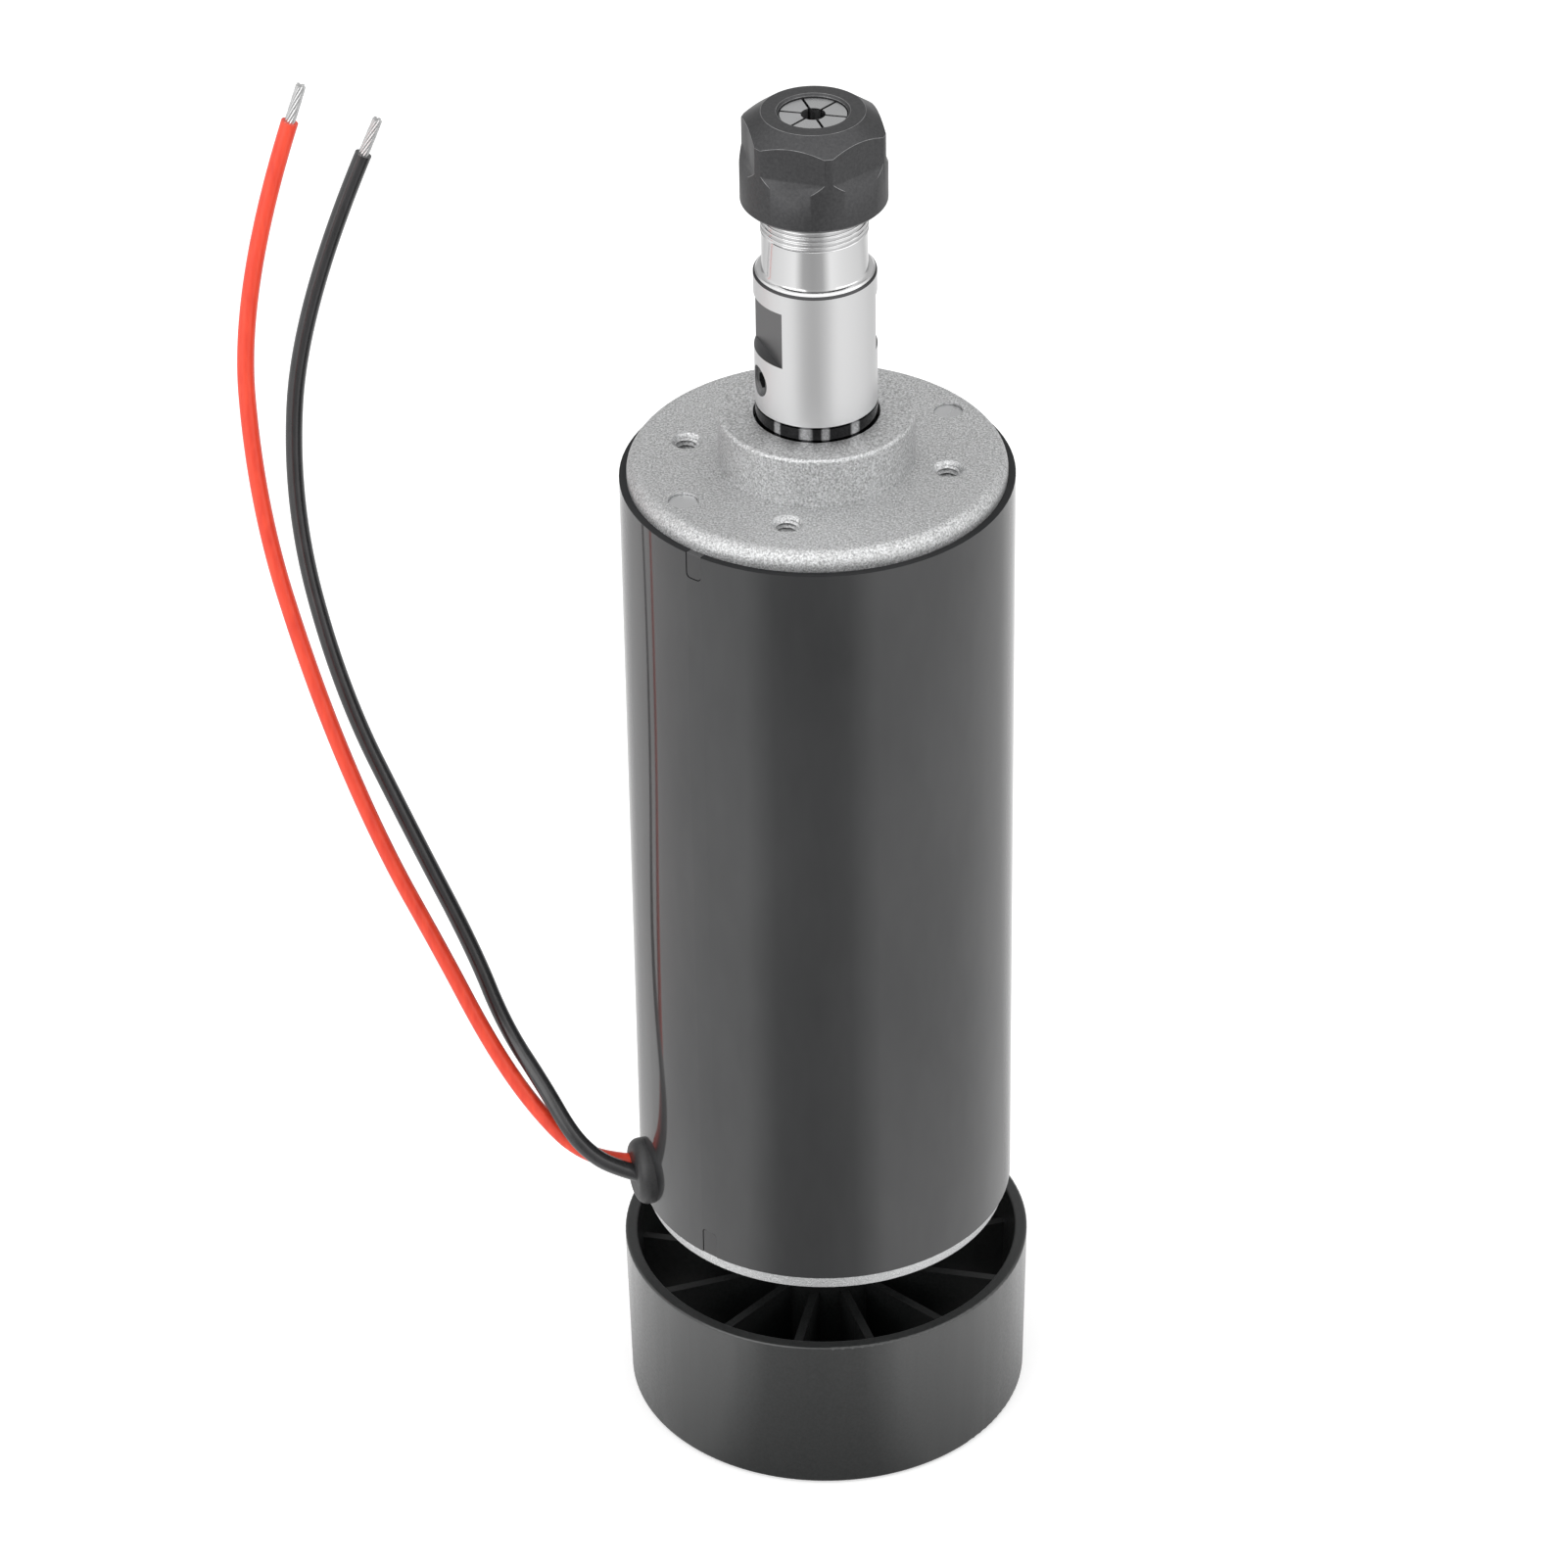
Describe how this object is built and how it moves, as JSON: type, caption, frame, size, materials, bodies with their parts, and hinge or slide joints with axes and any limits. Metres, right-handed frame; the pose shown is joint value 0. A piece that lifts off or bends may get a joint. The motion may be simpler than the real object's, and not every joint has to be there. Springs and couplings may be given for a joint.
{
  "type": "motor spindle",
  "caption": "Upright brushed motor spindle with a collet chuck on its front boss, a shrouded cooling fan behind and two bare-ended leads.",
  "frame": {"origin": "centre of the fan's lower face, on the spindle axis", "axes": "+Z along the spindle axis from the fan to the collet; -Y towards the viewer, +X to the right"},
  "size_m": [0.1052, 0.0601, 0.2018],
  "materials": {
    "can": "gloss black enamel",
    "cast": "sandblasted die casting",
    "rear_cast": "bright blasted die casting",
    "key": "gloss black enamel",
    "bolt": "zinc plated",
    "magnet": "ground ferrite",
    "spring": "spring steel",
    "bearing": "ground bearing steel",
    "ball": "polished",
    "cage": "pressed steel",
    "board": "phenolic board",
    "brass": "satin",
    "carbon": "matt carbon",
    "grommet": "satin",
    "red_wire": "satin vinyl",
    "black_wire": "satin vinyl",
    "tinned": "tinned",
    "shaft": "ground",
    "laminations": "stacked steel sheet",
    "insulation": "fibre",
    "copper": "enamelled copper",
    "copper_bar": "turned copper",
    "hub": "moulded phenolic",
    "spacer": "turned",
    "collar": "gloss black",
    "chuck": "bright turned steel",
    "grub": "black oxide",
    "collet": "ground spring steel",
    "nut": "matt black oxide",
    "fan": "satin black moulding"
  },
  "bodies": {
    "housing": {"motor_can": "can", "front_end_plate": "cast", "rear_end_plate": "rear_cast", "locating_keys": "key", "tie_bolts": "bolt", "magnets": "magnet", "magnet_clips": "spring", "front_bearing_outer_ring": "bearing", "rear_bearing_outer_ring": "bearing", "preload_washer": "spring", "brush_plate": "board", "brush_holders": "brass", "brush_springs": "spring", "lead_grommet": "grommet", "red_inner_lead": "red_wire", "black_inner_lead": "black_wire", "red_lead": "red_wire", "black_lead": "black_wire", "red_lead_tip": "tinned", "black_lead_tip": "tinned"},
    "rotor": {"shaft": "shaft", "armature_core": "laminations", "armature_insulators": "insulation", "windings": "copper", "commutator_hub": "hub", "commutator_segments": "copper_bar", "front_spacer": "spacer", "rear_spacer": "spacer", "front_bearing_inner_ring": "bearing", "rear_bearing_inner_ring": "bearing", "dust_collar": "collar", "collet_chuck": "chuck", "chuck_set_screws": "grub", "fan_wheel": "fan", "fan_bushing": "brass"},
    "front_cage": {"front_bearing_balls": "ball", "front_bearing_cage": "cage"},
    "rear_cage": {"rear_bearing_balls": "ball", "rear_bearing_cage": "cage"},
    "brush_a": {"brush_a": "carbon"},
    "brush_b": {"brush_b": "carbon"},
    "collet": {"collet": "collet"},
    "nut": {"collet_nut": "nut"}
  },
  "joints": [
    {"name": "rotor_spin", "type": "hinge", "parent": "housing", "child": "rotor", "pos_m": [0, 0, 0.09], "axis": [0, 0, 1], "continuous": true},
    {"name": "front_cage_spin", "type": "hinge", "parent": "housing", "child": "front_cage", "pos_m": [0, 0, 0.1529], "axis": [0, 0, 1], "continuous": true},
    {"name": "rear_cage_spin", "type": "hinge", "parent": "housing", "child": "rear_cage", "pos_m": [0, 0, 0.0373], "axis": [0, 0, 1], "continuous": true},
    {"name": "brush_a_slide", "type": "slide", "parent": "housing", "child": "brush_a", "axis": [0.5344, -0.8453, 0], "range_m": [0, 0.0003], "stiffness_N_per_m": 200, "springref_m": -0.002},
    {"name": "brush_b_slide", "type": "slide", "parent": "housing", "child": "brush_b", "axis": [-0.5344, 0.8453, 0], "range_m": [0, 0.0003], "stiffness_N_per_m": 200, "springref_m": -0.002},
    {"name": "collet_slide", "type": "slide", "parent": "rotor", "child": "collet", "axis": [0, 0, 1], "range_m": [0, 0.006]},
    {"name": "nut_turn", "type": "hinge", "parent": "collet", "child": "nut", "pos_m": [0, 0, 0.1955], "axis": [0, 0, 1], "range_deg": [0, 2880]}
  ],
  "couplings": [
    {"joint": "front_cage_spin", "follows": "rotor_spin", "ratio": 0.368},
    {"joint": "rear_cage_spin", "follows": "rotor_spin", "ratio": 0.36},
    {"joint": "nut_turn", "follows": "collet_slide", "rad_per_m": 8377.6}
  ]
}
